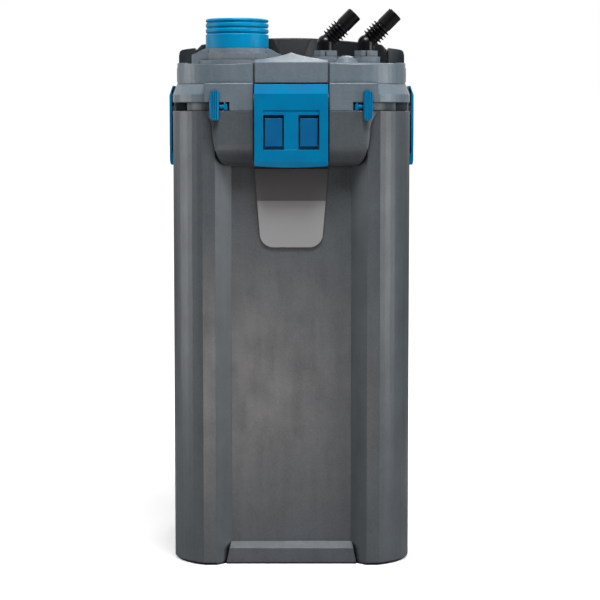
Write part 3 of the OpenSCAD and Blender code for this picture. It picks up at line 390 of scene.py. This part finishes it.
def select_faces(mesh_object, wanted):
    """Selects only the faces for which wanted(face) is true, and leaves the object in edit mode."""
    bpy.ops.object.mode_set(mode="OBJECT")
    for part in (mesh_object.data.vertices, mesh_object.data.edges, mesh_object.data.polygons):
        for element in part:
            element.select = False
    for face in mesh_object.data.polygons:
        face.select = wanted(face)
    bpy.context.tool_settings.mesh_select_mode = (False, False, True)
    bpy.ops.object.mode_set(mode="EDIT")


def apply_place():
    """Puts the active object's place and turn into its mesh."""
    bpy.ops.object.transform_apply(location=True, rotation=True, scale=True)


def dress(piece, material, body):
    """Gives the piece its one material and the body it moves with."""
    piece.data.materials.clear()
    piece.data.materials.append(material)
    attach(piece, body)


# ---------------------------------------------------------------- foam pieces

RINGS = 3


def soften(piece, radius, coarse):
    """Rounds the piece's rims and gives it the uneven skin of cut foam, inside its outline."""
    rims = piece.modifiers.new("rims", "BEVEL")
    rims.width = radius
    rims.segments = 3
    rims.limit_method = "ANGLE"
    uneven = bpy.data.textures.new(piece.name + "_skin", "CLOUDS")
    uneven.noise_scale = coarse
    skin = piece.modifiers.new("skin", "DISPLACE")
    skin.texture = uneven
    skin.texture_coords = "LOCAL"
    skin.mid_level = 1.0
    skin.strength = 0.5 * MM
    for name in ("rims", "skin"):
        bpy.ops.object.modifier_apply(modifier=name)
    bpy.ops.object.shade_smooth_by_angle(angle=SMOOTH_BELOW)


def make_prefilter_foam():
    """Three foam rings, one above the other on the strainer tube."""
    side_gap, tube_gap, end_gap = 0.1 * MM, 0.3 * MM, 0.3 * MM
    low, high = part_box("prefilter_foam")
    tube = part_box("strainer_tube")
    centre_x, centre_y = ((low[i] + high[i]) / 2 for i in (0, 1))
    outer = (high[0] - low[0]) / 2 - side_gap
    inner = (tube[1][0] - tube[0][0]) / 2 + tube_gap
    pitch = (high[2] - low[2] + end_gap) / RINGS
    for k in range(RINGS):
        bpy.ops.object.select_all(action="DESELECT")
        bpy.ops.mesh.primitive_cylinder_add(
            vertices=96, radius=outer, depth=pitch - 2 * end_gap,
            location=(centre_x, centre_y, low[2] + (k + 0.5) * pitch))
        ring = bpy.context.object
        ring.name = "foam_ring_%d" % (k + 1)
        apply_place()
        # the bore
        select_faces(ring, lambda face: abs(face.normal.z) > 0.9)
        bpy.ops.mesh.inset(thickness=outer - inner, depth=0)
        bpy.ops.mesh.bridge_edge_loops()
        # finer sides, for the uneven skin
        select_faces(ring, lambda face: abs(face.normal.z) < 0.5)
        bpy.ops.mesh.subdivide(number_cuts=3)
        bpy.ops.mesh.select_all(action="SELECT")
        bpy.ops.mesh.normals_make_consistent(inside=False)
        bpy.ops.object.mode_set(mode="OBJECT")
        soften(ring, radius=1.2 * MM, coarse=9 * MM)
        dress(ring, foams["dark_foam"], "cartridge")
        if k == 0:
            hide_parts("prefilter_foam")


def make_media_block(name):
    """A media block cut to fit its basket, with softened edges."""
    source = NODES[name]
    bpy.ops.object.select_all(action="DESELECT")
    block = bpy.data.objects.new(name + "_block", source.data.copy())
    bpy.context.scene.collection.objects.link(block)
    block.matrix_world = source.matrix_world.copy()
    block.select_set(True)
    bpy.context.view_layer.objects.active = block
    apply_place()
    bpy.ops.object.mode_set(mode="EDIT")
    bpy.ops.mesh.select_all(action="SELECT")
    bpy.ops.mesh.remove_doubles(threshold=0.01 * MM)
    bpy.ops.mesh.dissolve_limited(angle_limit=math.radians(1))
    bpy.ops.object.mode_set(mode="OBJECT")
    soften(block, radius=1.5 * MM, coarse=14 * MM)
    dress(block, foams[SLOT_OF[name]], "tank_and_head")
    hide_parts(name)


# ---------------------------------------------------------------- primer spring


def make_primer_spring():
    """Steel compression spring under the primer cap."""
    turns, steps_per_turn = 5, 28
    wire_sides, wire_radius = 12, 0.8 * MM
    low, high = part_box("primer_spring")
    centre_x, centre_y = ((low[i] + high[i]) / 2 for i in (0, 1))
    length = high[2] - low[2]
    coil_radius = (high[0] - low[0]) / 2 - wire_radius

    # the wire's section, at the spring's foot
    bpy.ops.object.select_all(action="DESELECT")
    bpy.ops.mesh.primitive_circle_add(
        vertices=wire_sides, radius=wire_radius, fill_type="NOTHING",
        location=(centre_x + coil_radius, centre_y, low[2] + wire_radius),
        rotation=(math.pi / 2, 0, 0))
    spring = bpy.context.object
    spring.name = "coiled_primer_spring"
    apply_place()

    # wound upwards round the cap's axis
    axis = bpy.data.objects.new("spring_axis", None)
    bpy.context.scene.collection.objects.link(axis)
    axis.location = (centre_x, centre_y, 0)
    bpy.context.view_layer.update()
    coiling = spring.modifiers.new("coiling", "SCREW")
    coiling.axis = "Z"
    coiling.object = axis
    coiling.angle = 2 * math.pi * turns
    coiling.screw_offset = length - 2 * wire_radius
    coiling.steps = coiling.render_steps = steps_per_turn * turns
    coiling.iterations = 1
    bpy.ops.object.modifier_apply(modifier="coiling")
    bpy.data.objects.remove(axis)

    # its two cut ends are closed
    bpy.ops.object.mode_set(mode="EDIT")
    bpy.ops.mesh.select_all(action="SELECT")
    bpy.ops.mesh.remove_doubles(threshold=0.001 * MM)
    bpy.ops.mesh.select_mode(type="EDGE")
    bpy.ops.mesh.select_all(action="DESELECT")
    bpy.ops.mesh.select_non_manifold()
    bpy.ops.mesh.fill_holes(sides=wire_sides)
    bpy.ops.mesh.select_all(action="SELECT")
    bpy.ops.mesh.normals_make_consistent(inside=False)
    bpy.ops.object.mode_set(mode="OBJECT")
    bpy.ops.object.shade_smooth_by_angle(angle=SMOOTH_BELOW)

    dress(spring, steel, "collar")
    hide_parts("primer_spring")
    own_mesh(spring)


make_prefilter_foam()
make_primer_spring()
for media_name in ("media_1", "media_2", "media_3", "media_4"):
    make_media_block(media_name)


# ---------------------------------------------------------------- floor, light and world


def make_floor():
    """Pale studio floor: it looks white, more so away from the object, and keeps the object's
    shadow, but throws only a little light back up."""
    paper_seen, paper_bounce, paper_gloss = 0.88, 0.22, 0.22
    near, far = 0.3, 2.0
    near_glow, far_glow = 0.37, 1.0

    bpy.ops.object.select_all(action="DESELECT")
    bpy.ops.mesh.primitive_plane_add(size=60, location=(0, 0, 0))
    floor = bpy.context.object
    floor.name = "studio_floor"
    material, tree = new_material("pale_floor")
    seen = add(tree, "ShaderNodeLightPath").outputs
    glossy = add(tree, "ShaderNodeMath",
                 {0: seen["Is Glossy Ray"], 1: seen["Is Transmission Ray"]}, operation="MAXIMUM")
    shade = add(tree, "ShaderNodeMix",
                {"Factor": seen["Is Camera Ray"], "A": paper_bounce, "B": paper_seen})
    shade = add(tree, "ShaderNodeMix",
                {"Factor": glossy.outputs["Value"], "A": shade.outputs["Result"],
                 "B": paper_gloss})
    paper = add(tree, "ShaderNodeBsdfDiffuse", {"Color": shade.outputs["Result"]})
    place = add(tree, "ShaderNodeTexCoord").outputs["Object"]
    away = add(tree, "ShaderNodeVectorMath", {0: place}, operation="LENGTH").outputs["Value"]
    strength = add(tree, "ShaderNodeMapRange",
                   {"Value": away, "From Min": near, "From Max": far,
                    "To Min": near_glow, "To Max": far_glow}).outputs["Result"]
    glow = add(tree, "ShaderNodeEmission", {"Color": linear(WHITE), "Strength": strength})
    dark = add(tree, "ShaderNodeEmission", {"Color": linear(BLACK), "Strength": 0.0})
    lit = add(tree, "ShaderNodeMixShader",
              {0: seen["Is Camera Ray"], 1: dark.outputs["Emission"],
               2: glow.outputs["Emission"]})
    both = add(tree, "ShaderNodeAddShader", {0: paper.outputs["BSDF"], 1: lit.outputs["Shader"]})
    add(tree, "ShaderNodeOutputMaterial", {"Surface": both.outputs["Shader"]})
    floor.data.materials.append(material)


def make_world():
    """White for the camera, and a softer ambient light for the rest. Gloss and glass see the white
    backdrop behind the object and the darker room in front of it."""
    backdrop_way = (-0.5, 0.87, 0.0)
    room_gloss, backdrop_gloss = 0.06, 0.75
    backdrop_from, backdrop_full = 0.0, 0.6
    ambient, background = 0.17, 1.0

    world = bpy.data.worlds.new("studio")
    bpy.context.scene.world = world
    world.use_nodes = True
    tree = world.node_tree
    tree.nodes.clear()
    seen = add(tree, "ShaderNodeLightPath").outputs
    way = add(tree, "ShaderNodeTexCoord").outputs["Generated"]
    back = add(tree, "ShaderNodeVectorMath", {0: way, 1: backdrop_way}, operation="DOT_PRODUCT")
    room = add(tree, "ShaderNodeMapRange",
               {"Value": back.outputs["Value"], "From Min": backdrop_from,
                "From Max": backdrop_full, "To Min": room_gloss, "To Max": backdrop_gloss})
    glossy = add(tree, "ShaderNodeMath",
                 {0: seen["Is Glossy Ray"], 1: seen["Is Transmission Ray"]}, operation="MAXIMUM")
    others = add(tree, "ShaderNodeMix",
                 {"Factor": glossy.outputs["Value"], "A": ambient, "B": room.outputs["Result"]})
    strength = add(tree, "ShaderNodeMix",
                   {"Factor": seen["Is Camera Ray"], "A": others.outputs["Result"],
                    "B": background}).outputs["Result"]
    sky = add(tree, "ShaderNodeBackground", {"Color": linear(WHITE), "Strength": strength})
    add(tree, "ShaderNodeOutputWorld", {"Surface": sky.outputs["Background"]})


def area_light(name, place, aim, width, height, power, spread=180, colour=WHITE):
    """A softbox at a place, facing a point; its grid narrows the spread in degrees."""
    lamp = bpy.data.lights.new(name, "AREA")
    lamp.shape = "RECTANGLE"
    lamp.size, lamp.size_y = width, height
    lamp.energy = power
    lamp.color = linear(colour)[:3]
    lamp.spread = math.radians(spread)
    made = bpy.data.objects.new(name, lamp)
    bpy.context.scene.collection.objects.link(made)
    made.location = place
    made.visible_camera = False
    x, y, z = (aim[i] - place[i] for i in range(3))
    made.rotation_euler = (math.atan2(math.hypot(x, y), -z), 0, math.atan2(y, x) - math.pi / 2)


make_floor()
make_world()
MIDDLE = (0, 0, 0.26)
PANEL_FOOT = (-0.04, -0.1, 0.14)
area_light("right_softbox", (1.25, -0.5, 0.3), MIDDLE, width=0.6, height=1.3, power=9.3)
area_light("left_softbox", (-1.3, 0.08, 0.35), MIDDLE, width=0.75, height=1.2, power=6.8)
area_light("top_softbox", (0.1, -0.7, 1.75), MIDDLE, width=0.9, height=0.4, power=30)
area_light("rear_softbox", (0.45, 1.5, 1.15), MIDDLE, width=0.8, height=0.5, power=9)
# a small warm lamp low in front lifts the lower half of the front panel
area_light("low_fill", (-0.16, -1.0, 0.06), PANEL_FOOT, width=0.3, height=0.12, power=0.085,
           spread=42, colour="ffece0")
